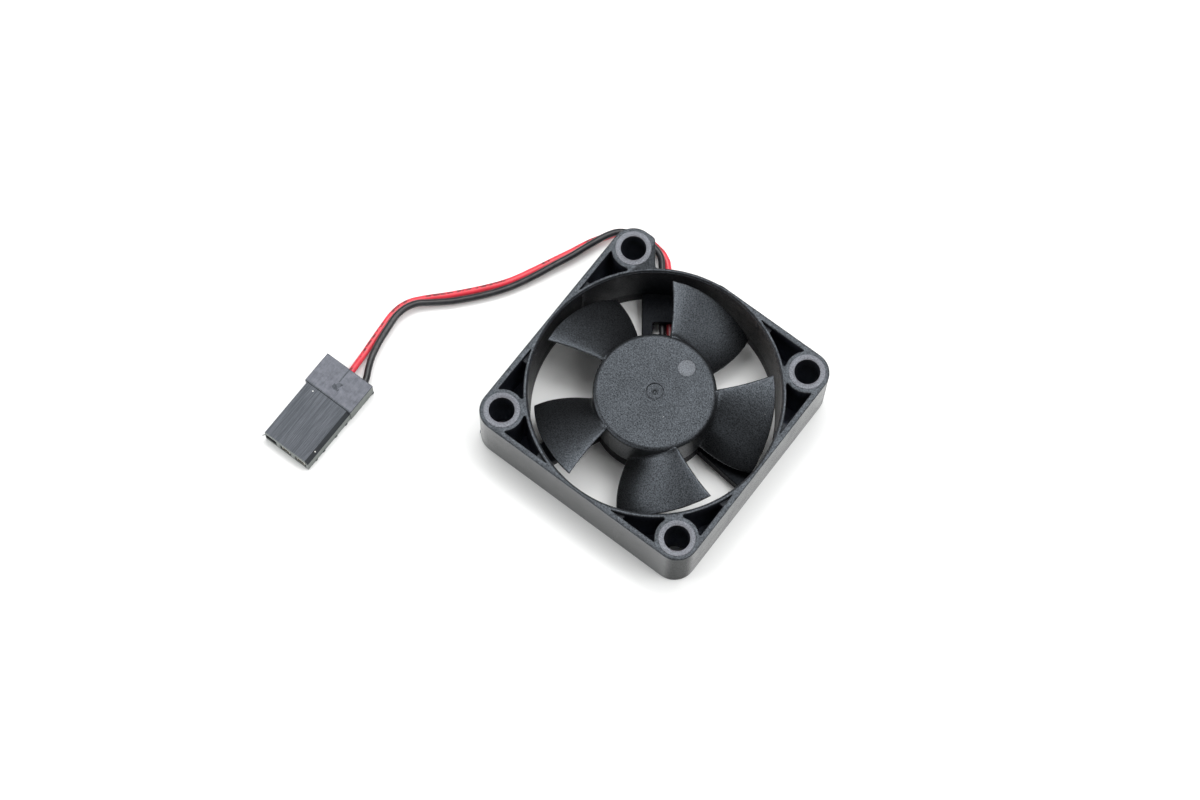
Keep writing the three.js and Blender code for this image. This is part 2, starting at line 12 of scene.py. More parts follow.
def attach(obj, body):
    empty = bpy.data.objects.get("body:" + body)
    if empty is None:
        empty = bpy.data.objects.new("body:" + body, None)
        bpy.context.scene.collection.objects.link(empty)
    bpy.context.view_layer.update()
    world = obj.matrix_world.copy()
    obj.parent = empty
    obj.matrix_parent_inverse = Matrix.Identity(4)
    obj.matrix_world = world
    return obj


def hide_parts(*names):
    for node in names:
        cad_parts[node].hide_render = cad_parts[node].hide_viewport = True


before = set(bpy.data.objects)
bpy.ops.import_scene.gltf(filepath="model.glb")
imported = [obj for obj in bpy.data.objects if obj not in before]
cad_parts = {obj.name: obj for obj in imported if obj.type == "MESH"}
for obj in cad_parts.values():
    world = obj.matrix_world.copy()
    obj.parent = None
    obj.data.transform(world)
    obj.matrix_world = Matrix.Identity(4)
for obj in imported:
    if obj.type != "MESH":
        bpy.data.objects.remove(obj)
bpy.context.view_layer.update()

MM = 0.001
VIEW_AZIMUTH, VIEW_ELEVATION, VIEW_ROLL = 34.753, 71.47, 2.611
VIEW_DISTANCE, VIEW_LEFT, VIEW_UP = 0.40795, 0.007155, 0.001943  # metres, from the origin
LIGHT_DISTANCE = 0.8


# ---- camera and softboxes -------------------------------------------------------------------
def camera_axes(azimuth, elevation, roll):
    a, e, r = (math.radians(v) for v in (azimuth, elevation, roll))
    back = Vector((math.sin(a) * math.cos(e), -math.cos(a) * math.cos(e), math.sin(e)))
    right = Vector((math.cos(a), math.sin(a), 0))
    up = back.cross(right)
    return (
        right * math.cos(r) + up * math.sin(r),
        up * math.cos(r) - right * math.sin(r),
        back,
    )


RIGHT, UP, BACK = camera_axes(VIEW_AZIMUTH, VIEW_ELEVATION, VIEW_ROLL)


def add_camera():
    data = bpy.data.cameras.new("camera")
    data.lens = 90
    data.sensor_width = 36
    data.clip_start, data.clip_end = 0.01, 20
    camera = bpy.data.objects.new("camera", data)
    bpy.context.scene.collection.objects.link(camera)
    matrix = Matrix((RIGHT, UP, BACK)).transposed().to_4x4()
    matrix.translation = BACK * VIEW_DISTANCE - RIGHT * VIEW_LEFT + UP * VIEW_UP
    camera.matrix_world = matrix
    bpy.context.scene.camera = camera


def add_softbox(name, tilt, azimuth, size, radiance):
    """A square light that faces the fan, tilted from straight up towards an azimuth in the view."""
    right = Vector((RIGHT.x, RIGHT.y, 0)).normalized()
    ahead = Vector((-right.y, right.x, 0))
    tilt, azimuth = math.radians(tilt), math.radians(azimuth)
    level = right * math.cos(azimuth) + ahead * math.sin(azimuth)
    towards = level * math.sin(tilt) + Vector((0, 0, math.cos(tilt)))
    data = bpy.data.lights.new(name, "AREA")
    data.size = size
    data.energy = radiance * math.pi * size * size
    light = bpy.data.objects.new(name, data)
    bpy.context.scene.collection.objects.link(light)
    light.location = towards * LIGHT_DISTANCE
    light.rotation_mode = "QUATERNION"
    light.rotation_quaternion = towards.to_track_quat("Z", "Y")


# ---- node materials -------------------------------------------------------------------------
class Surface:
    """A Principled material with its pattern nodes. Pattern coordinates are millimetres."""

    def __init__(self, name, color, roughness, **sockets):
        self.material = bpy.data.materials.new(name)
        self.material.use_nodes = True
        self.tree = self.material.node_tree
        self.shader = self.tree.nodes["Principled BSDF"]
        self.set(base_color=(*color, 1), roughness=roughness, **sockets)
        coords = self.node("ShaderNodeTexCoord").outputs["Object"]
        scaled = self.node("ShaderNodeVectorMath", {0: coords}, operation="SCALE")
        scaled.inputs["Scale"].default_value = 1 / MM
        self.coords = scaled.outputs[0]

    def set(self, **sockets):
        """Puts a value or a link in each named socket of the shader."""
        for key, value in sockets.items():
            self._put(self.shader.inputs[key.replace("_", " ").title().replace("Ior", "IOR")], value)

    def _put(self, socket, value):
        if isinstance(value, bpy.types.NodeSocket):
            self.tree.links.new(value, socket)
        else:
            socket.default_value = value

    def node(self, kind, inputs=None, **properties):
        node = self.tree.nodes.new(kind)
        for key, value in properties.items():
            setattr(node, key, value)
        for key, value in (inputs or {}).items():
            self._put(node.inputs[key], value)
        return node

    def source(self, socket):
        """The link that feeds a socket of the shader."""
        return self.shader.inputs[socket].links[0].from_socket

    def multiply(self, socket, factor):
        """Multiplies what already feeds a socket of the shader."""
        result = self.times(self.source(socket), factor)
        self.tree.links.new(result, self.shader.inputs[socket])

    def stretched(self, scale, turn=0.0):
        """The coordinates turned about Z and scaled per axis."""
        turned = self.node("ShaderNodeMapping", {"Vector": self.coords, "Rotation": (0, 0, turn)})
        inputs = {0: turned.outputs[0], 1: scale}
        return self.node("ShaderNodeVectorMath", inputs, operation="MULTIPLY").outputs[0]

    def noise(self, scale, detail=2.0, roughness=0.5, distortion=0.0, vector=None):
        node = self.node(
            "ShaderNodeTexNoise",
            {
                "Vector": vector or self.coords,
                "Scale": scale,
                "Detail": detail,
                "Roughness": roughness,
                "Distortion": distortion,
            },
        )
        return node.outputs["Fac"]

    def cells(self, scale):
        """Distance to the nearest of scattered points."""
        node = self.node("ShaderNodeTexVoronoi", {"Vector": self.coords, "Scale": scale})
        return node.outputs["Distance"]

    def remap(self, value, low, high, to_low=0.0, to_high=1.0, smooth=False):
        node = self.node(
            "ShaderNodeMapRange",
            {"Value": value, "From Min": low, "From Max": high, "To Min": to_low, "To Max": to_high},
            interpolation_type="SMOOTHSTEP" if smooth else "LINEAR",
        )
        return node.outputs["Result"]

    def math(self, operation, a, b=0.0):
        return self.node("ShaderNodeMath", {0: a, 1: b}, operation=operation).outputs[0]

    def times(self, a, b):
        return self.math("MULTIPLY", a, b)

    def above(self, value, limit):
        """1 where a value is over a limit, otherwise 0."""
        return self.math("GREATER_THAN", value, limit)

    def below(self, value, limit):
        """1 where a value is under a limit, otherwise 0."""
        return self.math("LESS_THAN", value, limit)

    def axis(self, name):
        """A pattern coordinate, X, Y or Z."""
        return self.node("ShaderNodeSeparateXYZ", {0: self.coords}).outputs[name]

    def facing(self, direction):
        """How far the surface looks in a direction."""
        normal = self.node("ShaderNodeNewGeometry").outputs["Normal"]
        node = self.node("ShaderNodeVectorMath", {0: normal, 1: direction}, operation="DOT_PRODUCT")
        return node.outputs["Value"]

    def from_point(self, x, y, wobble=0.0, scale=3.0):
        """Distance in plan from a point, with a ragged outline when wobble is set."""
        across = self.math("SUBTRACT", self.axis("X"), x)
        along = self.math("SUBTRACT", self.axis("Y"), y)
        squares = self.math("ADD", self.math("POWER", across, 2), self.math("POWER", along, 2))
        distance = self.math("SQRT", squares)
        if not wobble:
            return distance
        return self.math("ADD", distance, self.remap(self.noise(scale), 0.3, 0.7, -wobble, wobble))

    def dull(self, share, color):
        """Mixes in a matt surface, which has no sheen at low angles."""
        matt = self.node("ShaderNodeBsdfDiffuse", {"Color": (*color, 1)}).outputs[0]
        inputs = {0: share, 1: self.shader.outputs[0], 2: matt}
        both = self.node("ShaderNodeMixShader", inputs).outputs[0]
        self.tree.links.new(both, self.tree.nodes["Material Output"].inputs["Surface"])

    def mix(self, share, a, b):
        """Two colours mixed."""
        node = self.node("ShaderNodeMix", data_type="RGBA")
        self._put(node.inputs[0], share)
        for socket, value in ((node.inputs[6], a), (node.inputs[7], b)):
            self._put(socket, value if isinstance(value, bpy.types.NodeSocket) else (*value, 1))
        return node.outputs[2]

    def bump(self, height, depth_mm):
        inputs = {"Height": height, "Strength": 1.0, "Distance": depth_mm * MM}
        return self.node("ShaderNodeBump", inputs).outputs[0]


def shade(value, tint=(1, 1, 1)):
    return tuple(value * t for t in tint)


COOL = (0.8, 0.89, 1.0)  # the plastics reflect slightly blue


def moulded(name, level, roughness, tint=(0.94, 1.0, 1.08), grain=0.016, sparkle=0.42):
    """Black moulded plastic with a spark-eroded grain, faint cloudiness and a few dust specks."""
    s = Surface(name, shade(level, tint), roughness, specular_tint=(*COOL, 1))
    fine = s.noise(6.0, 2, 0.6)
    broad = s.noise(0.35, 3, 0.6)
    grains = s.cells(6.0)
    color = s.mix(s.remap(fine, 0.3, 0.7), shade(level * 0.5, tint), shade(level * 1.7, tint))
    specks = s.times(s.below(s.cells(0.42), 0.026), s.remap(s.noise(0.9), 0.5, 0.62))
    color = s.mix(specks, color, (0.5, 0.5, 0.48))
    relief = s.math("ADD", s.times(fine, 1.2), s.times(grains, -0.7))
    s.set(
        base_color=color,
        roughness=s.remap(broad, 0.3, 0.7, roughness - 0.04, roughness + 0.05),
        specular_ior_level=s.remap(fine, 0.28, 0.72, 0.55 - sparkle, 0.55 + sparkle),
        normal=s.bump(relief, grain),
    )
    return s


def plug_plastic():
    """Black plastic, cloudy on the rear block and drawn lengthwise on the front one."""
    s = Surface("plug_plastic", (0.02, 0.021, 0.023), 0.42, specular_tint=(*COOL, 1))
    across, along = s.axis("X"), s.axis("Y")
    drawn = s.noise(1.0, 5, 0.75, vector=s.stretched((10.0, 0.22, 1.0)))
    cloud = s.math("ADD", s.times(s.noise(1.1, 5, 0.7), 0.6), s.times(drawn, 0.4))
    rear = s.above(along, PLUG_Y + BLOCKS_MEET)
    front_color = s.mix(s.remap(drawn, 0.42, 0.64), (0.014, 0.015, 0.017), (0.06, 0.06, 0.068))
    rear_color = s.mix(s.remap(cloud, 0.38, 0.62), (0.055, 0.055, 0.066), (0.1, 0.099, 0.115))
    color = s.mix(rear, front_color, rear_color)
    torn = s.remap(s.from_point(-35.88, -23.62, 0.34, 1.8), 0.44, 0.34, 0, 0.85)
    torn = s.math("MAXIMUM", torn, s.remap(s.from_point(-35.42, -23.1, 0.3, 2.2), 0.3, 0.2, 0, 0.7))
    button = s.remap(s.from_point(-35.76, -23.28), 0.34, 0.28)
    color = s.mix(torn, color, (0.005, 0.005, 0.006))
    color = s.mix(button, color, (0.045, 0.046, 0.054))
    # Painted shade: the groove along the rear block is darkened.
    groove = s.below(s.math("ABSOLUTE", s.math("SUBTRACT", across, PLUG_X - 0.06)), 0.09)
    groove = s.times(groove, s.above(along, PLUG_Y + GROOVE_END))
    color = s.mix(s.times(groove, 0.8), color, (0.006, 0.006, 0.007))
    # Painted shade: sloping faces, the chamfer and the rounded edges, are darker and have less sheen.
    upright = s.facing((0, 0, 1))
    edges = s.times(s.above(upright, 0.12), s.below(upright, 0.985))
    color = s.mix(edges, color, (0.022, 0.024, 0.026))
    # Painted light: the side turned towards +X is lighter.
    side = s.above(s.facing((1, 0, 0)), 0.9)
    color = s.mix(side, color, (0.1, 0.112, 0.098))
    # Painted highlight: the front end face is lighter.
    front = s.below(along, PLUG_Y - PLUG_L + 0.1)
    color = s.mix(front, color, (0.12, 0.13, 0.12))
    for x, y in DUST_SPOTS:
        color = s.mix(s.below(s.from_point(x, y), 0.08), color, (0.8, 0.8, 0.76))
    worn = s.mix(rear, drawn, cloud)
    sheen = s.times(s.remap(worn, 0.38, 0.64, 0.38, 0.68), s.remap(edges, 0, 1, 1, 0.6))
    s.set(
        base_color=color,
        specular_ior_level=sheen,
        roughness=s.remap(drawn, 0.3, 0.7, 0.34, 0.52),
        normal=s.bump(s.math("ADD", drawn, s.times(s.noise(6, 2), 0.25)), 0.02),
    )
    return s.material


# Where the plastics change: distances from the axis, heights, the open side and the hub's edge.
DUCT_SIDE, POCKET_SIDE = 17.2, 17.3
POCKET_LOW, POCKET_HIGH, LEDGE_LOW, MOTOR_PLATE_HIGH = 0.2, 9.6, 8.6, 2.6
OPEN_FROM, OPEN_TO, OPEN_BEYOND = -12.7, -0.8, 11.0
HUB_SHEEN_FROM, HUB_SHEEN_TO = 9.35, 9.6


def frame_plastic():
    """Black plastic, darker inside the duct: a painted shade. The brown dust there is partly real and
    partly painted light, heavier towards the top and on faces turned one way. The pockets are
    lighter with depth, painted light for the light they gather."""
    s = moulded("frame_plastic", 0.011, 0.44)
    radius = s.from_point(0, 0)
    inside = s.below(radius, DUCT_SIDE)
    outside = s.above(radius, POCKET_SIDE)
    pocket = s.times(outside, s.below(s.axis("Z"), POCKET_HIGH))
    open_side = s.above(s.axis("X"), OPEN_FROM)
    open_side = s.times(open_side, s.below(s.axis("X"), OPEN_TO))
    open_side = s.times(open_side, s.above(s.axis("Y"), OPEN_BEYOND))
    pocket = s.times(pocket, s.math("SUBTRACT", 1.0, open_side))
    pocket = s.times(pocket, s.above(s.axis("Z"), POCKET_LOW))
    deep = s.remap(s.axis("Z"), 8.0, 2.0, smooth=True)
    ledge = s.above(s.facing((0, 0, 1)), 0.7)
    ledge = s.times(ledge, s.above(s.axis("Z"), LEDGE_LOW))
    # Painted shade: the sheen inside the duct is cut to about a third, and lower still on the motor plate
    # and struts.
    low = s.times(inside, s.below(s.axis("Z"), MOTOR_PLATE_HIGH))
    sheen = s.times(s.remap(low, 0, 1, 1, 0.35), s.remap(inside, 0, 1, 1, 0.34))
    open_wall = s.times(open_side, outside)
    sheen = s.times(sheen, s.remap(s.math("MAXIMUM", pocket, open_wall), 0, 1, 1, 0.35))
    s.multiply("Specular IOR Level", sheen)
    # Dust inside the duct, partly real and partly painted light: it grows towards the top and on faces
    # turned one way.
    dust_and_light = s.remap(s.noise(2.6, 5, 0.8), 0.42, 0.62)
    dust_and_light = s.times(dust_and_light, s.remap(s.axis("Z"), 3.0, 9.0, 0.2, 0.85))
    dust_and_light = s.times(dust_and_light, s.remap(s.facing((-0.85, -0.5, 0)), 0.2, 0.95, 0.15, 1.0))
    # Painted shade: where there is no dust, the inside of the duct is darker than the rest of the frame.
    walls = s.mix(dust_and_light, (0.004, 0.0046, 0.006), (0.085, 0.074, 0.066))
    color = s.mix(inside, s.source("Base Color"), walls)
    # Painted light: the pockets get lighter with depth, and upward faces of the ledges high in them are
    # lighter too.
    hollow = s.mix(deep, (0.012, 0.013, 0.018), (0.12, 0.135, 0.18))
    hollow = s.mix(ledge, hollow, (0.026, 0.027, 0.03))
    s.set(base_color=s.mix(pocket, color, hollow))
    return s.material


def make_materials():
    made = {"frame": frame_plastic()}

    s = moulded("side_wall_plastic", 0.012, 0.2, (0.97, 1.0, 0.95), 0.009, 0.25)
    # Painted shade: two corners of the side walls get a matt share and lose their low-angle sheen, so they
    # look darker; the matt specks are the wall's own.
    front_corner_shade = s.remap(s.facing((0.7, -0.71, 0)), 0.74, 0.98, 0, 0.55, smooth=True)
    right_corner_shade = s.remap(s.facing((0.92, 0.4, 0)), 0.93, 0.99, 0, 0.5, smooth=True)
    specks = s.remap(s.noise(4.5, 2), 0.4, 0.7, 0, 0.14)
    s.dull(s.math("ADD", specks, s.math("MAXIMUM", front_corner_shade, right_corner_shade)), (0.012, 0.013, 0.012))
    made["wall"] = s.material
    made["spot"] = moulded("boss_ring_plastic", 0.085, 0.4, (0.98, 0.97, 1.07), 0.01, 0.3).material
    s = moulded("impeller_plastic", 0.008, 0.42)
    on_hub = s.remap(s.axis("Z"), HUB_SHEEN_FROM, HUB_SHEEN_TO)
    s.multiply("Specular IOR Level", s.remap(on_hub, 0, 1, 1.1, 0.78))
    s.multiply("Roughness", s.remap(on_hub, 0, 1, 0.84, 1.0))
    made["impeller"] = s.material
    made["mark"] = moulded("mark_plastic", 0.055, 0.42, (0.96, 0.98, 1.05), 0.008, 0.2).material

    s = Surface("red_insulation", (0.6, 0.03, 0.05), 0.36, specular_ior_level=0.5)
    upper_left = s.remap(s.facing((-0.5, 0.38, 0.78)), 0.75, 0.85)
    smudge = s.remap(s.noise(1.9, 4, 0.7, 0.6), 0.47, 0.51)
    blotch = s.remap(s.noise(0.3, 1), 0.44, 0.5)
    marks = s.times(s.times(smudge, blotch), s.times(upper_left, 0.85))
    color = s.mix(s.remap(s.noise(0.7, 2), 0.3, 0.7), (0.66, 0.036, 0.058), (0.56, 0.028, 0.045))
    color = s.mix(marks, color, (0.06, 0.012, 0.014))
    shaded = s.remap(s.from_point(0, 0), 15, 13, 0, 0.75)
    s.set(
        base_color=s.mix(shaded, color, (0.02, 0.002, 0.003)),
        roughness=s.remap(s.noise(2.5, 3), 0.3, 0.7, 0.3, 0.46),
        normal=s.bump(s.noise(3.0, 3), 0.01),
    )
    made["red"] = s.material

    s = Surface("black_insulation", (0.014, 0.014, 0.016), 0.32, specular_ior_level=0.4)
    s.set(
        base_color=s.mix(s.remap(s.noise(1.1, 3), 0.35, 0.7), (0.008, 0.008, 0.01), (0.02, 0.02, 0.022)),
        roughness=s.remap(s.noise(2.5, 3), 0.3, 0.7, 0.28, 0.44),
        normal=s.bump(s.noise(2.5, 3), 0.012),
    )
    made["black"] = s.material
    made["plug"] = plug_plastic()

    s = Surface("label_film", (0.42, 0.43, 0.44), 0.38, metallic=0.35)
    brushed = s.noise(1.0, 3, vector=s.stretched((0.5, 14.0, 1.0), 0.3))
    s.set(
        base_color=s.mix(brushed, (0.36, 0.37, 0.38), (0.52, 0.53, 0.54)),
        roughness=s.remap(brushed, 0.3, 0.7, 0.3, 0.46),
        normal=s.bump(s.noise(0.5, 2), 0.03),
    )
    made["label"] = s.material

    def metal(name, color, roughness, scale, depth=0.006):
        s = Surface(name, color, roughness, metallic=1.0)
        n = s.noise(scale, 3, 0.6)
        s.set(
            base_color=s.mix(n, shade(0.8, color), color),
            roughness=s.remap(n, 0.3, 0.7, roughness - 0.06, roughness + 0.08),
            normal=s.bump(n, depth),
        )
        return s.material

    made["tin"] = metal("tin_plating", (0.78, 0.75, 0.68), 0.24, 4.0)
    made["brass"] = metal("drawn_brass", (0.66, 0.48, 0.2), 0.32, 3.0)
    made["bronze"] = metal("sintered_bronze", (0.4, 0.27, 0.14), 0.5, 9.0, 0.02)
    made["steel"] = metal("ground_steel", (0.6, 0.61, 0.63), 0.24, 2.0)
    made["silicon_steel"] = metal("stamped_steel", (0.24, 0.25, 0.27), 0.42, 3.0)
    made["solder"] = metal("solder_metal", (0.55, 0.56, 0.58), 0.34, 2.4, 0.02)
    made["copper"] = metal("enamelled_copper", (0.5, 0.16, 0.05), 0.3, 6.0, 0.03)

    def plain(name, low, high, roughness, scale, depth=0.008):
        s = Surface(name, low, roughness)
        n = s.noise(scale, 3, 0.6)
        s.set(
            base_color=s.mix(n, low, high),
            roughness=s.remap(n, 0.3, 0.7, roughness - 0.06, roughness + 0.08),
            normal=s.bump(n, depth),
        )
        return s.material

    made["magnet"] = plain("bonded_ferrite", (0.03, 0.025, 0.022), (0.07, 0.06, 0.055), 0.72, 8.0, 0.02)
    made["nylon"] = plain("white_nylon", (0.7, 0.68, 0.61), (0.82, 0.8, 0.74), 0.46, 2.0)
    made["board"] = plain("solder_mask", (0.02, 0.13, 0.05), (0.04, 0.2, 0.09), 0.4, 3.0)
    made["chip"] = plain("chip_moulding", (0.012, 0.012, 0.013), (0.03, 0.03, 0.032), 0.5, 7.0)
    made["ceramic"] = plain("fired_ceramic", (0.36, 0.25, 0.15), (0.48, 0.35, 0.23), 0.5, 5.0)
    return made


# ---- mesh toolkit, in millimetres -----------------------------------------------------------
def circle(radius, count, center=(0, 0), clockwise=False):
    angles = np.arange(count) * (2 * math.pi / count) * (-1 if clockwise else 1)
    return np.stack([center[0] + radius * np.cos(angles), center[1] + radius * np.sin(angles)], 1)


def resampled(loop, step):
    loop = np.asarray(loop, float)
    ends = np.roll(loop, -1, 0)
    lengths = np.linalg.norm(ends - loop, axis=1)
    stations = np.concatenate([[0], np.cumsum(lengths)])
    count = max(12, round(stations[-1] / step))
    wanted = np.linspace(0, stations[-1], count, endpoint=False)
    closed = np.vstack([loop, loop[:1]])
    return np.stack([np.interp(wanted, stations, closed[:, k]) for k in (0, 1)], 1)


def softened(loop, radius, step=0.11):
    """The loop with its corners rounded: evenly spaced points, blurred along the loop."""
    points = resampled(loop, step)
    count = len(points)
    offsets = np.minimum(np.arange(count), count - np.arange(count)) * step
    kernel = np.exp(-0.5 * (offsets / radius) ** 2)
    kernel /= kernel.sum()
    spectrum = np.fft.fft(kernel)[:, None]
    return np.real(np.fft.ifft(np.fft.fft(points, axis=0) * spectrum, axis=0))


def moved_out(loop, distance):
    """The loop moved to the right of its direction, which is out of the material."""
    along = np.roll(loop, -1, 0) - np.roll(loop, 1, 0)
    along /= np.linalg.norm(along, axis=1)[:, None]
    return loop + distance * np.stack([along[:, 1], -along[:, 0]], 1)


def rounding(radius, z, way, steps=4):
    """Profile points for a rounded edge between a flat at z and a wall. way is 1 above, -1 below."""
    points = []
    for i in range(steps + 1):
        a = math.pi / 2 * i / steps
        points.append((-radius * (1 - math.sin(a)), z - way * radius * (1 - math.cos(a))))
    return points


def triangulated(polygons, accuracy):
    """Triangles over flat polygons: points, triangles, the given point each point is, if any, and
    the polygons that cover each triangle."""
    points, faces = [], []
    for polygon in polygons:
        face = list(range(len(points), len(points) + len(polygon)))
        points.extend(Vector(p) for p in polygon)
        x, y = np.asarray(polygon, float).T
        area = np.sum(x * np.roll(y, -1) - np.roll(x, -1) * y)
        faces.append(face if area > 0 else face[::-1])
    verts, _, triangles, origins, _, owners = delaunay_2d_cdt(points, [], faces, 1, accuracy)
    return verts, triangles, origins, owners


def arranged(polygons, keep):
    """Lays flat polygons over each other and returns the loops round the parts that keep() picks
    by the set of polygons that cover them, with the material on the left."""
    verts, triangles, _, owners = triangulated(polygons, 1e-5)
    kept = [t for t, covering in zip(triangles, owners) if keep(set(covering))]
    half_edges = {(t[i], t[(i + 1) % len(t)]) for t in kept for i in range(len(t))}
    following = {a: b for a, b in half_edges if (b, a) not in half_edges}
    loops = []
    while following:
        start, point = following.popitem()
        loop = [start]
        while point != start:
            loop.append(point)
            point = following.pop(point)
        loops.append(np.array([verts[i] for i in loop]))
    return loops


class Shell:
    """Collects the vertices and faces of one closed surface."""

    def __init__(self):
        self.verts = []
        self.faces = []

    def ring(self, loop, z):
        start = len(self.verts)
        self.verts.extend((x, y, z) for x, y in loop)
        return list(range(start, len(self.verts)))

    def strip(self, a, b):
        for i in range(len(a)):
            j = (i + 1) % len(a)
            self.faces.append((a[i], b[i], b[j], a[j]))

    def skirt(self, loop, profile):
        """Walls below or above a loop: profile is (distance out of the material, z) points."""
        rings = [self.ring(moved_out(loop, out) if out else loop, z) for out, z in profile]
        for a, b in zip(rings, rings[1:]):
            self.strip(a, b)
        return rings[0], rings[-1]

    def cap(self, rings):
        """Fills the flat region between rings that lie in one plane."""
        index = [i for ring in rings for i in ring]
        flat = [[self.verts[i][:2] for i in ring] for ring in rings]
        _, triangles, origins, owners = triangulated(flat, 1e-6)
        if not all(origins):
            raise ValueError(f"loops cross at height {self.verts[index[0]][2]}")
        for triangle, covering in zip(triangles, owners):
            if len(set(covering)) % 2:
                self.faces.append(tuple(index[origins[i][0]] for i in triangle))

    def grid(self, points):
        """Quads over a rows by columns array of points. Returns the index array."""
        rows, columns = points.shape[:2]
        start = len(self.verts)
        self.verts.extend(map(tuple, points.reshape(-1, 3)))
        index = np.arange(start, start + rows * columns).reshape(rows, columns)
        for i in range(rows - 1):
            for j in range(columns - 1):
                self.faces.append((index[i, j], index[i + 1, j], index[i + 1, j + 1], index[i, j + 1]))
        return index

    def build(self, name):
        mesh = bpy.data.meshes.new(name)
        mesh.from_pydata([tuple(c * MM for c in v) for v in self.verts], [], self.faces)
        bm = bmesh.new()
        bm.from_mesh(mesh)
        bmesh.ops.remove_doubles(bm, verts=bm.verts, dist=1e-7)
        bmesh.ops.dissolve_degenerate(bm, edges=bm.edges, dist=1e-8)
        bmesh.ops.recalc_face_normals(bm, faces=bm.faces)
        bm.to_mesh(mesh)
        bm.free()
        made = bpy.data.objects.new(name, mesh)
        bpy.context.scene.collection.objects.link(made)
        return made


def slab(outline, z0, z1, holes=(), edge=0.12, corner=0.12):
    """A plate with rounded edges. Outline runs anticlockwise and holes clockwise."""
    shell = Shell()
    tops, bottoms = [], []
    for loop in (outline, *holes):
        loop = softened(loop, corner)
        profile = rounding(edge, z1, 1) + rounding(edge, z0, -1)[::-1]
        top, bottom = shell.skirt(loop, profile)
        tops.append(top)
        bottoms.append(bottom)
    shell.cap(tops)
    shell.cap(bottoms)
    return shell.build("slab")


def turned(profile, segments):
    """A closed body turned about the axis from (radius, z) points. Radius 0 makes a pole."""
    shell = Shell()
    rings = []
    for radius, z in profile:
        if radius < 1e-6:
            shell.verts.append((0, 0, z))
            rings.append([len(shell.verts) - 1] * segments)
        else:
            rings.append(shell.ring(circle(radius, segments), z))
    closing = [] if len(set(rings[0])) == 1 else [(rings[-1], rings[0])]
    for a, b in [*zip(rings, rings[1:]), *closing]:
        for i in range(segments):
            j = (i + 1) % segments
            face = list(dict.fromkeys((a[i], b[i], b[j], a[j])))
            if len(face) > 2:
                shell.faces.append(tuple(face))
    return shell.build("turned")


def rounded_block(low, high, edge, segments=3):
    """A block with all its edges rounded."""
    bm = bmesh.new()
    bmesh.ops.create_cube(bm, size=1)
    low, high = Vector(low), Vector(high)
    for vertex in bm.verts:
        vertex.co = Vector(
            (low[k] + high[k]) / 2 + vertex.co[k] * (high[k] - low[k]) for k in range(3)
        )
    if edge:
        bmesh.ops.bevel(
            bm, geom=bm.edges[:], offset=edge, segments=segments, profile=0.5, affect="EDGES"
        )
    for vertex in bm.verts:
        vertex.co *= MM
    mesh = bpy.data.meshes.new("block")
    bm.to_mesh(mesh)
    bm.free()
    made = bpy.data.objects.new("block", mesh)
    bpy.context.scene.collection.objects.link(made)
    return made


def transformed(obj, matrix):
    obj.data.transform(matrix)
    return obj


def combined(target, operation, tools):
    """Joins the tools to the target, or cuts them from it, for good."""
    for tool in tools:
        modifier = target.modifiers.new("combine", "BOOLEAN")
        modifier.operation = operation
        modifier.solver = "MANIFOLD"
        modifier.object = tool
    depsgraph = bpy.context.evaluated_depsgraph_get()
    mesh = bpy.data.meshes.new_from_object(target.evaluated_get(depsgraph))
    target.modifiers.clear()
    target.data = mesh
    for tool in tools:
        bpy.data.objects.remove(tool)
    return target


SHARP_ANGLE = math.radians(32)


def finished(obj, name, body, materials, replaces, pick=None):
    """Names a piece, shades it, gives it materials and sets it on its body."""
    obj.name = obj.data.name = name
    obj.data.materials.clear()
    for material in materials:
        obj.data.materials.append(material)
    for polygon in obj.data.polygons:
        polygon.material_index = pick(polygon.center / MM, polygon.normal) if pick else 0
    obj.data.shade_smooth()
    obj.data.set_sharp_from_angle(angle=SHARP_ANGLE)
    modifier = obj.modifiers.new("weighted", "WEIGHTED_NORMAL")
    modifier.mode = "FACE_AREA_WITH_ANGLE"
    modifier.keep_sharp = True
    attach(obj, body)
    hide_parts(*replaces)
    return obj


# ---- leads ----------------------------------------------------------------------------------
LEAD_DIAMETER = 0.96

# The leads' centre lines, from the circuit board to the plug. Point 6 is just outside the frame.
BLACK_ROUTE = [
    (-2.17, 5.12, 0.72),
    (-3.74, 7.2, 0.72),
    (-5.54, 9.6, 0.72),
    (-7.35, 11.99, 0.72),
    (-9.15, 14.39, 0.75),
    (-10.65, 16.4, 0.9),
    (-11.65, 17.6, 1.05),
    (-12.3, 18.35, 1.2),
    (-13, 18.8, 1.35),
    (-14.05, 19.1, 1.45),
    (-15.15, 19.2, 1.5),
    (-16.8, 19.05, 1.5),
    (-18.35, 18.6, 1.5),
    (-19.55, 17.8, 1.5),
    (-20.45, 16.45, 1.45),
    (-21.2, 14.7, 1.4),
    (-21.95, 12.75, 1.3),
    (-22.35, 11.6, 1.25),
    (-23.55, 8.8, 1.15),
    (-24.8, 5.8, 1.05),
    (-26.45, 2.5, 0.95),
    (-28.4, -0.35, 0.95),
    (-31.5, -3.95, 0.95),
    (-33.55, -5.85, 1.1),
    (-35.05, -7.25, 1.25),
    (-35.8, -8.6, 1.3),
    (-36.15, -10.3, 1.25),
    (-36, -12.3, 1.2),
    (-35.65, -14.9, 1.1),
    (-35.15, -16.95, 1),
    (-34.45, -18.6, 1.1),
    (-33.75, -19.95, 1.2),
    (-33.36, -21.4, 1.3),
    (-33.36, -23.2, 1.3),
]
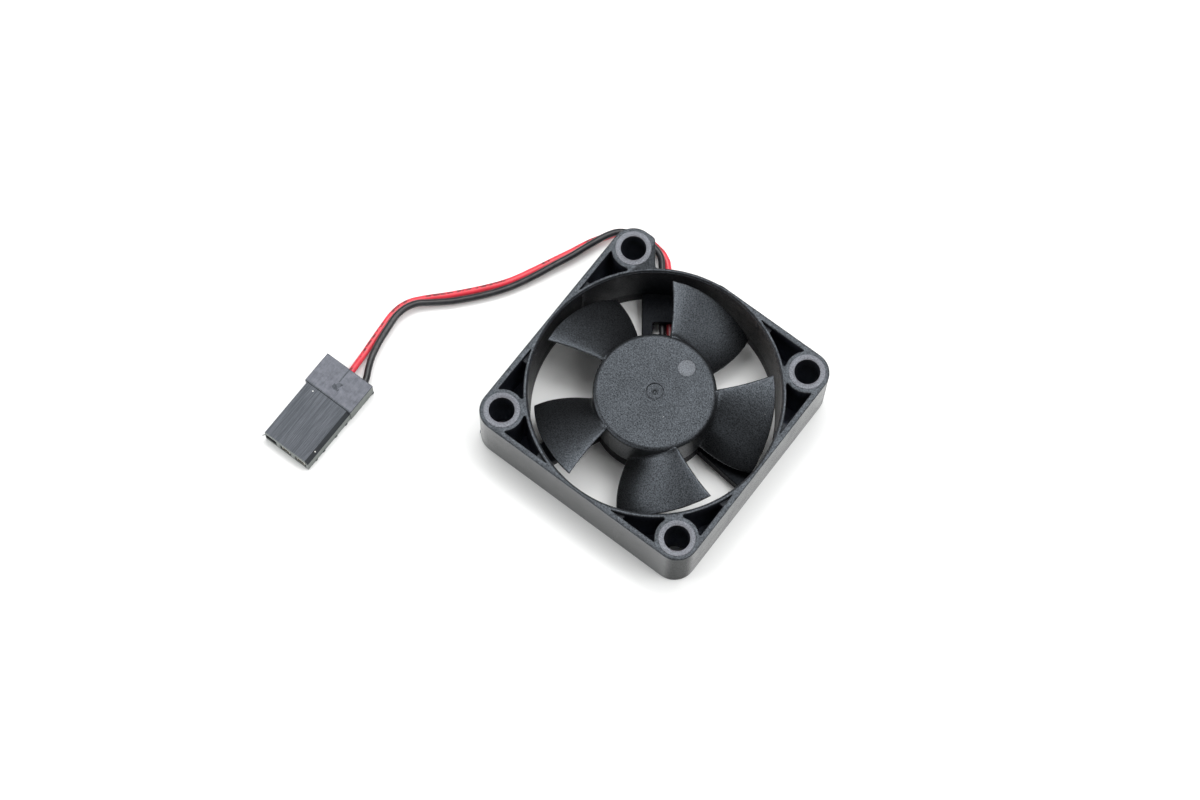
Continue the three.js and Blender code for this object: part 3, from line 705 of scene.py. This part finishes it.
RED_ROUTE = [
    (-1.35, 5.74, 0.72),
    (-2.91, 7.82, 0.72),
    (-4.72, 10.22, 0.72),
    (-6.52, 12.61, 0.72),
    (-8.33, 15.01, 0.7),
    (-9.75, 16.9, 0.6),
    (-10.95, 18.1, 0.5),
    (-11.6, 18.75, 0.5),
    (-12.2, 19.1, 0.5),
    (-12.85, 19.4, 0.5),
    (-13.6, 19.55, 0.5),
    (-14.85, 19.7, 0.5),
    (-16.55, 19.55, 0.5),
    (-18.25, 19.05, 0.5),
    (-19.7, 17.95, 0.5),
    (-20.6, 16.65, 0.5),
    (-21.55, 15.1, 0.5),
    (-22.4, 13.35, 0.5),
    (-22.85, 12.25, 0.5),
    (-24.1, 9.55, 0.5),
    (-25.45, 6.6, 0.5),
    (-27.1, 3.35, 0.5),
    (-29.1, 0.55, 0.5),
    (-32.2, -3.1, 0.5),
    (-34.85, -5.9, 0.5),
    (-36.05, -7.4, 0.5),
    (-36.65, -8.75, 0.5),
    (-36.9, -10.5, 0.5),
    (-36.8, -12.4, 0.5),
    (-36.6, -14.85, 0.5),
    (-36.35, -17.15, 0.6),
    (-36.1, -19.35, 1),
    (-35.9, -21.4, 1.3),
    (-35.9, -23.2, 1.3),
]


def centripetal(route, samples=6):
    """Points along the smooth curve through a route."""
    p = [Vector(q) for q in route]
    p = [2 * p[0] - p[1], *p, 2 * p[-1] - p[-2]]
    out = []
    for i in range(1, len(p) - 2):
        knots = [0.0]
        for a, b in zip(p[i - 1 : i + 2], p[i : i + 3]):
            knots.append(knots[-1] + math.sqrt((b - a).length))
        for k in range(samples):
            t = knots[1] + (knots[2] - knots[1]) * k / samples
            level = p[i - 1 : i + 3]
            a1 = level[0].lerp(level[1], (t - knots[0]) / (knots[1] - knots[0]))
            a2 = level[1].lerp(level[2], (t - knots[1]) / (knots[2] - knots[1]))
            a3 = level[2].lerp(level[3], (t - knots[2]) / (knots[3] - knots[2]))
            b1 = a1.lerp(a2, (t - knots[0]) / (knots[2] - knots[0]))
            b2 = a2.lerp(a3, (t - knots[1]) / (knots[3] - knots[1]))
            out.append(b1.lerp(b2, (t - knots[1]) / (knots[2] - knots[1])))
    out.append(p[-2])
    return out


def add_lead(name, route, material, node):
    points = centripetal(route)
    curve = bpy.data.curves.new(name, "CURVE")
    curve.dimensions = "3D"
    curve.bevel_depth = LEAD_DIAMETER / 2 * MM
    curve.bevel_resolution = 6
    curve.use_fill_caps = True
    spline = curve.splines.new("POLY")
    spline.points.add(len(points) - 1)
    for point, place in zip(spline.points, points):
        point.co = (*(c * MM for c in place), 1)
    spline.use_smooth = True
    curve.materials.append(material)
    lead = bpy.data.objects.new(name, curve)
    bpy.context.scene.collection.objects.link(lead)
    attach(lead, "stator")
    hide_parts(node)


# ---- frame ----------------------------------------------------------------------------------
SIDE, HEIGHT, CORNER = 35.0, 10.0, 3.0
FACE = 9.92  # the frame's upper face; only the rings round the holes reach the full height
BOSS, SPOT, HOLE, HOLE_AT = 3.0, 2.45, 1.7, 14.5
RING, DUCT = 17.5, 16.6
WALL, FLOOR, WEB = 0.8, 1.5, 2.4
STRUT_ANGLE = math.radians(127)
LEAD_LEFT, LEAD_RIGHT, CHANNEL_RIGHT = 1.5, -4.1, -3.1
WINDOW_END, WEB_CUT, WALL_START, STRUT_REACH = 12.5, -0.1, -2.0, 16.9
PLAIN_STRUTS = ((-6.3, 5.0), (234.6, 245.9))  # degrees, from one side to the other


def on_strut(along, off):
    """A point of the lead strut's own frame: outwards from the axis, and to the left of it."""
    c, s = math.cos(STRUT_ANGLE), math.sin(STRUT_ANGLE)
    return (along * c - off * s, along * s + off * c)


def rectangle(x0, x1, y0, y1, turn=0.0):
    c, s = math.cos(turn), math.sin(turn)
    corners = [(x0, y0), (x1, y0), (x1, y1), (x0, y1)]
    return [(x * c - y * s, x * s + y * c) for x, y in corners]


def rounded_square(side, radius, count=24):
    points = []
    for k, (sx, sy) in enumerate([(1, 1), (-1, 1), (-1, -1), (1, -1)]):
        center = (sx * (side / 2 - radius), sy * (side / 2 - radius))
        for i in range(count + 1):
            a = math.pi / 2 * (k + i / count)
            points.append((center[0] + radius * math.cos(a), center[1] + radius * math.sin(a)))
    return points


def frame_plan():
    """The loops of the frame's upper face: outside first, then the pockets."""
    inner = SIDE / 2 - WALL
    holes_at = [(HOLE_AT * sx, HOLE_AT * sy) for sx, sy in ((1, 1), (-1, 1), (-1, -1), (1, -1))]
    gap = [on_strut(15, WEB_CUT), on_strut(25, WEB_CUT), (WALL_START, 20.5), (WALL_START, 15)]
    polygons = [
        rounded_square(SIDE, CORNER),
        rectangle(-inner, inner, -inner, inner),
        circle(RING, 512),
        gap,
        rectangle(15, 35, -17.5, WEB / 2, math.radians(135)),
        *[circle(BOSS, 128, at) for at in holes_at],
        *[rectangle(16, 20, -WEB / 2, WEB / 2, math.atan2(y, x)) for x, y in holes_at],
    ]
    outside, inside, ring, opening = range(4)

    def solid(over):
        if outside not in over or (opening in over and ring not in over):
            return False
        return inside not in over or ring in over or bool(over - {outside, inside, ring, opening})

    loops = arranged(polygons, solid)
    loops.sort(key=lambda loop: -np.ptp(loop[:, 0]))
    return loops, holes_at


def frame_body():
    """The frame's outside, pockets, duct and screw holes, as one shell."""
    loops, holes_at = frame_plan()
    shell = Shell()
    tops, bottoms = [], []
    outer = softened(loops[0], 0.27)
    top, bottom = shell.skirt(outer, rounding(0.18, FACE, 1) + rounding(0.18, 0, -1)[::-1])
    tops.append(top)
    bottoms.append(bottom)
    for pocket in loops[1:]:
        wall = softened(pocket, 0.16)
        down = rounding(0.12, FACE, 1) + [(0, 6.0), (0, FLOOR)]
        top, floor = shell.skirt(wall, down)
        tops.append(top)
        shell.cap([floor])
    lip = [(0, FACE), (0.035, 9.905), (0.055, 9.86), (0.06, 9.72), (0.1, 9.69), (0.17, 9.69)]
    lip += [(0.2, 9.64), (0.21, 9.3), (0.23, 8.0), (0.3, 6.0), (0.42, 3.6), (0.52, 1.8), (0.52, 0.3)]
    lip += [(0.46, 0.09), (0.36, 0)]
    top, bottom = shell.skirt(circle(DUCT + 0.52, 384, clockwise=True), lip)
    tops.append(top)
    bottoms.append(bottom)
    for at in holes_at:
        step = SPOT - HOLE
        boss = [(0, FACE), (0.015, 9.975), (0.05, HEIGHT), (step - 0.1, HEIGHT), (step - 0.03, 9.97)]
        boss += [(step, 9.88), (step, 5), (step, 0.12), (step - 0.04, 0.03), (step - 0.12, 0)]
        top, bottom = shell.skirt(circle(SPOT, 96, at, clockwise=True), boss)
        tops.append(top)
        bottoms.append(bottom)
    shell.cap(tops)
    shell.cap(bottoms)
    return shell.build("frame_body")


def motor_base():
    """The plate under the motor with its rim, and the boss that the bearing tube stands in."""
    plate = [(0, 1.4), (3.0, 1.4), (3.0, 1.42), (7.7, 1.42), (7.75, 2.5), (7.85, 2.6), (8.1, 2.6)]
    plate += [(8.2, 2.5), (8.2, 0.15), (8.15, 0.04), (8.05, 0.0), (7.3, 0.0), (7.22, 0.04)]
    plate += [(7.2, 0.2), (0, 0.2)]
    boss = [(0, 0.8), (2.05, 0.8), (2.05, 2.8), (2.12, 2.85), (2.9, 2.85), (3.0, 2.75)]
    boss += [(3.0, 0.6), (0, 0.6)]
    return [turned(plate, 192), turned(boss, 64)]


def struts():
    """Two plain struts, and the wider one with the window that the leads run along."""
    made = []
    for start, end in PLAIN_STRUTS:
        a, b = math.radians(start), math.radians(end)
        ends = ((7.85, a), (STRUT_REACH, a), (STRUT_REACH, b), (7.85, b))
        wedge = [(r * math.cos(t), r * math.sin(t)) for r, t in ends]
        made.append(slab(wedge, 0.0, 2.0))
    outline = [(7.8, LEAD_RIGHT), (STRUT_REACH, LEAD_RIGHT), (STRUT_REACH, LEAD_LEFT), (7.8, LEAD_LEFT)]
    outline = [on_strut(*point) for point in outline]
    window = [(8.35, CHANNEL_RIGHT), (8.35, 0), (WINDOW_END, 0), (WINDOW_END, CHANNEL_RIGHT)]
    window = [on_strut(*point) for point in window]
    made.append(slab(outline, 0.0, 2.2, [window]))
    return made


def ledges():
    """Shelves a little below the face, in the pointed ends of the pockets beside the ring."""
    made = []
    for k in range(4):
        for start, end in ((-7.1, -5.0), (5.0, 7.1)):
            if k == 0 and start < 0:
                continue  # the side is open there, for the leads
            block = rounded_block((start, 15.95, 1.0), (end, 17.2, 9.05), 0)
            made.append(transformed(block, Matrix.Rotation(k * math.pi / 2, 4, "Z")))
    return made


def channel_tools():
    """Cuts for the leads' channel under their strut, and for its slot through the motor's rim."""
    turn = Matrix.Rotation(STRUT_ANGLE, 4, "Z")
    channel = rounded_block((3.9, CHANNEL_RIGHT, -1), (22, 0, 1.42), 0)
    slot = rounded_block((7.3, CHANNEL_RIGHT, -1), (8.6, 0, 4), 0)
    return [transformed(channel, turn), transformed(slot, turn)]


def add_frame(materials):
    body = combined(frame_body(), "UNION", [*ledges(), *motor_base(), *struts()])
    body = combined(body, "DIFFERENCE", channel_tools())
    flash = rounded_block((2.9, -0.12, 0.02), (3.1, 0.14, 0.55), 0.04, 2)
    transformed(flash, Matrix.Rotation(math.radians(215), 4, "Z"))
    transformed(flash, Matrix.Translation(Vector((-HOLE_AT, -HOLE_AT, 0)) * MM))
    body = combined(body, "UNION", [flash])

    def pick(center, normal):
        reach = math.hypot(abs(center.x) - HOLE_AT, abs(center.y) - HOLE_AT)
        if center.z > 9.93 and HOLE + 0.02 < reach < SPOT:
            return 1
        far, near = max(abs(center.x), abs(center.y)), min(abs(center.x), abs(center.y))
        outer = far > SIDE / 2 - 0.1 or (near > HOLE_AT and reach > CORNER - 0.1)
        return 2 if outer and abs(normal.z) < 0.5 else 0

    return finished(
        body,
        "frame_moulding",
        "stator",
        [materials["frame"], materials["spot"], materials["wall"]],
        ["fan_frame"],
        pick=pick,
    )


# ---- impeller -------------------------------------------------------------------------------
HUB, HUB_TOP, HUB_BOTTOM, HUB_EDGE = 8.3, 9.7, 3.0, 0.62
TIP, BLADE_HIGH, BLADE_LOW = 16.08, 9.3, 3.5
SIDE_MARK, GATE = (1.37, 5.24), (0.0, 0.0)
BLADES, BLADE_EDGE = 5, 0.13
BURR_ANGLES, BURR_Z = (36.5, 108.5, 180.5, 252.5), 9.05
LOW_ANGLE, LOW_SWEEP, HIGH_ANGLE, HIGH_SWEEP = 282.7, 6.7, 328.4, 0.76  # degrees
BLADE_RISE, BLADE_CURVE = 1.58, 0.58


def hub():
    """The hub's cup, with the gate mark at its middle and a plain disc beside it."""
    shell = Shell()
    edge = rounding(HUB_EDGE, HUB_TOP, 1, steps=8)
    down = edge + [(0, 6), (0, HUB_BOTTOM + 0.08), (-0.08, HUB_BOTTOM), (-0.57, HUB_BOTTOM)]
    down += [(-0.65, HUB_BOTTOM + 0.08), (-0.65, 8.75), (-0.8, 8.9), (-6.5, 8.9), (-6.6, 8.8)]
    down += [(-6.6, 7.75), (-6.65, 7.7), (-7.45, 7.7), (-7.5, 7.75), (-7.5, 8.7)]
    top, end = shell.skirt(circle(HUB, 192), down)
    shell.cap([end])
    tops = [top]
    gate = [(0, 0), (0.05, -0.06), (0.08, -0.16), (0.16, -0.16), (0.2, -0.05), (0.76, -0.05)]
    gate += [(0.82, 0.03), (0.92, 0.03), (1.02, -0.04), (1.05, -0.18), (1.1, -0.2)]
    mark = [(0, 0), (0.03, -0.04), (0.07, -0.05), (0.9, -0.05)]
    for radius, center, profile in ((1.22, GATE, gate), (1.2, SIDE_MARK, mark)):
        profile = [(out, HUB_TOP + rise) for out, rise in profile]
        top, floor = shell.skirt(circle(radius, 64, center, clockwise=True), profile)
        tops.append(top)
        shell.cap([floor])
    shell.cap(tops)
    return shell.build("hub")


def blade_middle(radius, across):
    """A point on a blade's middle surface: across goes from its low edge to its high edge."""
    share = (radius - HUB) / (TIP - HUB)
    low = LOW_ANGLE + LOW_SWEEP * share * share
    high = HIGH_ANGLE + HIGH_SWEEP * (radius - HUB)
    angle = math.radians(low + (high - low) * across)
    rise = across * (BLADE_RISE - BLADE_CURVE * across)
    return np.array(
        [radius * math.cos(angle), radius * math.sin(angle), BLADE_LOW + (BLADE_HIGH - BLADE_LOW) * rise]
    )


def edge_share(distance, radius):
    """How much of a blade's thickness is left at a distance from its rounded edge."""
    if distance >= radius:
        return 1.0
    return math.sqrt(max(0.0, 1 - (1 - distance / radius) ** 2))


def blade(turn):
    """One blade: a thickened grid over its middle surface, finer near its rounded edges."""
    radii = [7.8, 8.15, 8.3, 8.4, 8.5, 8.65, 8.85, 9.2, *np.linspace(9.8, 15.4, 10)]
    radii += [15.75, 15.9, 15.98, 16.04, TIP]
    shares = [0, 0.004, 0.012, 0.024, 0.04, 0.07, *np.linspace(0.12, 0.88, 20)]
    shares += [0.93, 0.96, 0.976, 0.988, 0.996, 1]
    upper, lower = [], []
    for radius in radii:
        middle = 0.62 - 0.22 * (radius - HUB) / (TIP - HUB)
        middle += 0.5 * math.exp(-max(0.0, radius - HUB) / 0.22)
        width = 5.5 + 0.55 * (radius - HUB)
        for share in shares:
            point = blade_middle(radius, share)
            outward = blade_middle(radius + 0.01, share) - point
            upward = blade_middle(radius, share + 0.002) - point
            normal = np.cross(outward, upward)
            normal /= np.linalg.norm(normal)
            inset = min(share, 1 - share) * width
            left = edge_share(inset, BLADE_EDGE) * edge_share(TIP - radius, BLADE_EDGE)
            thin = 1 - 0.45 * math.exp(-inset / 0.5)
            half = max(0.015, middle / 2 * left * thin)
            upper.append(point + normal * half)
            lower.append(point - normal * half)
    shell = Shell()
    shape = (len(radii), len(shares), 3)
    top = shell.grid(np.array(upper).reshape(shape))
    bottom = shell.grid(np.array(lower).reshape(shape))
    rim_top = [*top[0], *top[1:, -1], *top[-1, -2::-1], *top[-2:0:-1, 0]]
    rim_bottom = [*bottom[0], *bottom[1:, -1], *bottom[-1, -2::-1], *bottom[-2:0:-1, 0]]
    shell.strip(rim_top, rim_bottom)
    return transformed(shell.build("blade"), Matrix.Rotation(turn, 4, "Z"))


def add_impeller(materials):
    body = combined(hub(), "UNION", [blade(2 * math.pi * k / BLADES) for k in range(BLADES)])
    inside = turned([(0, 2.0), (HUB - 0.66, 2.0), (HUB - 0.66, 8.8), (3.0, 8.8), (2.9, 8.7), (0, 8.7)], 96)
    seam = rounded_block((HUB - 0.3, -0.04, 3.2), (HUB + 0.05, 0.04, 9.0), 0.02, 1)
    burrs = [transformed(seam, Matrix.Rotation(math.radians(260), 4, "Z"))]
    for angle in BURR_ANGLES:
        burr = rounded_block((HUB - 0.3, -0.16, BURR_Z - 0.12), (HUB + 0.22, 0.16, BURR_Z + 0.1), 0.05, 1)
        burrs.append(transformed(burr, Matrix.Rotation(math.radians(angle), 4, "Z")))
    body = combined(body, "UNION", burrs)
    keep = turned([(0, 7.6), (1.85, 7.6), (1.85, 9.0), (0, 9.0)], 64)
    body = combined(body, "DIFFERENCE", [combined(inside, "DIFFERENCE", [keep])])

    def pick(center, _):
        reach = math.hypot(center.x - SIDE_MARK[0], center.y - SIDE_MARK[1])
        return int(abs(center.z - HUB_TOP + 0.05) < 0.02 and reach < 1.17)

    return finished(
        body,
        "impeller_moulding",
        "rotor",
        [materials["impeller"], materials["mark"]],
        ["impeller"],
        pick=pick,
    )


# ---- plug -----------------------------------------------------------------------------------
PLUG_X, PLUG_Y, PLUG_W, PLUG_L, PLUG_H = -35.9, -20.6, 7.85, 14.0, 2.65
PITCH = 2.54
REAR_START, FRONT_END = -4.9, -4.4  # the two blocks of the plug overlap between these
BLOCKS_MEET, GROOVE_END, SOCKET_Z = -4.65, -2.3, 1.3
BUMPS = ((3.95, -0.2), (3.87, -5.9), (3.87, -8.05), (3.87, -10.65), (3.85, -12.25))
PITS = ((-0.1, -3.12, 0.5), (0.14, -3.2, 1.2), (0.5, -2.5, -0.6))  # x, y and turn
DUST_SPOTS = ((-38.0, -26.05), (-32.42, -32.5))


def prism(outline, y0, y1):
    """An outline in X and Z carried along Y, with rounded edges."""
    shape = slab(outline, -y1, -y0, edge=0.08, corner=0.05)
    return transformed(shape, Matrix.Rotation(math.pi / 2, 4, "X"))


def add_plug(materials):
    """The plug's two blocks, with moulding flaws, three openings and the latch windows."""
    half = PLUG_W / 2
    rear = [(-half, 0.0), (half, 0.0), (half, PLUG_H), (-half, PLUG_H)]
    left, right, top, chamfer = 0.35 - half, half - 0.1, PLUG_H - 0.13, 0.55
    front = [(left, 0.0), (right, 0.0), (right, top - chamfer), (right - chamfer, top), (left, top)]
    body = combined(prism(rear, REAR_START, 0.0), "UNION", [prism(front, -PLUG_L, FRONT_END)])
    for x, y in BUMPS:
        bump = rounded_block((x - 0.3, y - 0.2, 0.02), (x + 0.05, y + 0.22, 0.32), 0.05, 1)
        body = combined(body, "UNION", [bump])
    whisker = rounded_block((-0.05, -0.5, -0.05), (0.05, 0.1, 0.05), 0.02, 1)
    transformed(whisker, Matrix.Rotation(-0.7, 4, "Z"))
    transformed(whisker, Matrix.Translation(Vector((left + 0.05, 0.1 - PLUG_L, 1.5)) * MM))
    body = combined(body, "UNION", [whisker])
    tools = [rounded_block((-0.16, GROOVE_END, PLUG_H - 0.05), (0.04, 0.5, PLUG_H + 1), 0)]
    for x, y, turn in PITS:
        pit = rounded_block((-0.09, -0.15, -0.08), (0.07, 0.13, 0.5), 0)
        transformed(pit, Matrix.Rotation(turn, 4, "Z"))
        tools.append(transformed(pit, Matrix.Translation(Vector((x, y, PLUG_H)) * MM)))
    for k in (-1, 0, 1):
        x = k * PITCH
        tools.append(rounded_block((x - 0.95, -PLUG_L - 1, 0.55), (x + 0.95, 1, 2.05), 0.12, 2))
        tools.append(rounded_block((x - 0.6, -6.4, -1), (x + 0.6, -4.2, 1.3), 0))
    body = combined(body, "DIFFERENCE", tools)
    transformed(body, Matrix.Translation(Vector((PLUG_X, PLUG_Y, 0)) * MM))
    return finished(body, "plug_moulding", "stator", [materials["plug"]], ["plug_housing"])


def add_socket(name, x, material, node):
    """A crimp socket: a folded square tube, a neck with its wings, and the crimped barrel."""
    tube = rounded_block((-0.75, -13.95, -0.58), (0.75, -7.2, 0.58), 0.12, 2)
    body = combined(tube, "DIFFERENCE", [rounded_block((-0.57, -15, -0.4), (0.57, -7.6, 0.4), 0.08, 2)])
    neck = rounded_block((-0.45, -7.4, -0.58), (0.45, -5.1, -0.3), 0.04, 2)
    crimps = [(0, 0.0), (0.42, 0.0), (0.55, 0.15), (0.5, 0.6), (0.56, 1.0), (0.5, 1.4), (0.56, 1.9)]
    barrel = turned([*crimps, (0.45, 2.3), (0, 2.3)], 32)
    transformed(barrel, Matrix.Translation((0, -5.3 * MM, 0)) @ Matrix.Rotation(-math.pi / 2, 4, "X"))
    body = combined(body, "UNION", [neck, barrel])
    transformed(body, Matrix.Translation(Vector((x, PLUG_Y, SOCKET_Z)) * MM))
    return finished(body, name, "stator", [material], [node])


# ---- label and inner pieces -----------------------------------------------------------------
def add_label(material):
    film = turned([(0, 0.15), (6.9, 0.15), (7.02, 0.14), (7.08, 0.1), (7.05, 0.06), (0, 0.05)], 128)
    return finished(film, "label_film_disc", "stator", [material], ["rating_label"])


NODE_LOOKS = {
    "bearing_tube": "brass",
    "sleeve_bearing": "bronze",
    "thrust_pad": "nylon",
    "oil_seal_ring": "nylon",
    "retaining_washer": "nylon",
    "shaft": "steel",
    "rotor_yoke": "steel",
    "ring_magnet": "magnet",
    "bobbin_upper": "nylon",
    "bobbin_lower": "nylon",
    "circuit_board": "board",
    "hall_driver": "chip",
    "chip_diode": "chip",
    "chip_capacitor": "ceramic",
    "solder_joint_red": "solder",
    "solder_joint_black": "solder",
    **{f"stator_lamination_{k}": "silicon_steel" for k in range(1, 5)},
    **{f"coil_{k}": "copper" for k in range(1, 5)},
}


def dress_nodes(materials):
    for name, look in NODE_LOOKS.items():
        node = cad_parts[name]
        node.data.materials.clear()
        node.data.materials.append(materials[look])


# ---- floor and lights -----------------------------------------------------------------------
KEY_SIZE, FILL_SIZE, SURROUND = 0.36, 0.42, 0.29


def add_floor():
    s = Surface("floor", (0.86, 0.865, 0.86), 0.7, specular_ior_level=0.2)
    bpy.ops.mesh.primitive_plane_add(size=3, location=(0, 0, -0.02 * MM))
    floor = bpy.context.object
    floor.name = "floor"
    floor.data.materials.append(s.material)


def light_scene():
    world = bpy.data.worlds.new("studio")
    bpy.context.scene.world = world
    world.use_nodes = True
    world.node_tree.nodes["Background"].inputs["Color"].default_value = (1, 1, 1, 1)
    world.node_tree.nodes["Background"].inputs["Strength"].default_value = SURROUND
    for azimuth, radiance in ((0, 5.25), (60, 7.05), (120, 6.2)):
        add_softbox(f"key_{azimuth}", 25, azimuth, KEY_SIZE, radiance)
    add_softbox("fill_left", 54, 186, FILL_SIZE, 2.4)
    add_softbox("fill_right", 46, 342, FILL_SIZE, 3.6)
    add_softbox("low_left", 75, 182, FILL_SIZE, 3.4)
    add_softbox("low_front_left", 76, 228, FILL_SIZE, 3.4)
    bpy.context.scene.view_settings.view_transform = "Standard"


# ---- the scene ------------------------------------------------------------------------------
add_camera()
looks = make_materials()
plug = add_plug(looks)
socket_red = add_socket("socket_red", PLUG_X, looks["tin"], "terminal_red")
socket_black = add_socket("socket_black", PLUG_X + PITCH, looks["tin"], "terminal_black")
add_lead("red_wire", RED_ROUTE, looks["red"], "red_lead")
add_lead("black_wire", BLACK_ROUTE, looks["black"], "black_lead")
add_frame(looks)
add_impeller(looks)
add_label(looks["label"])
dress_nodes(looks)
add_floor()
light_scene()
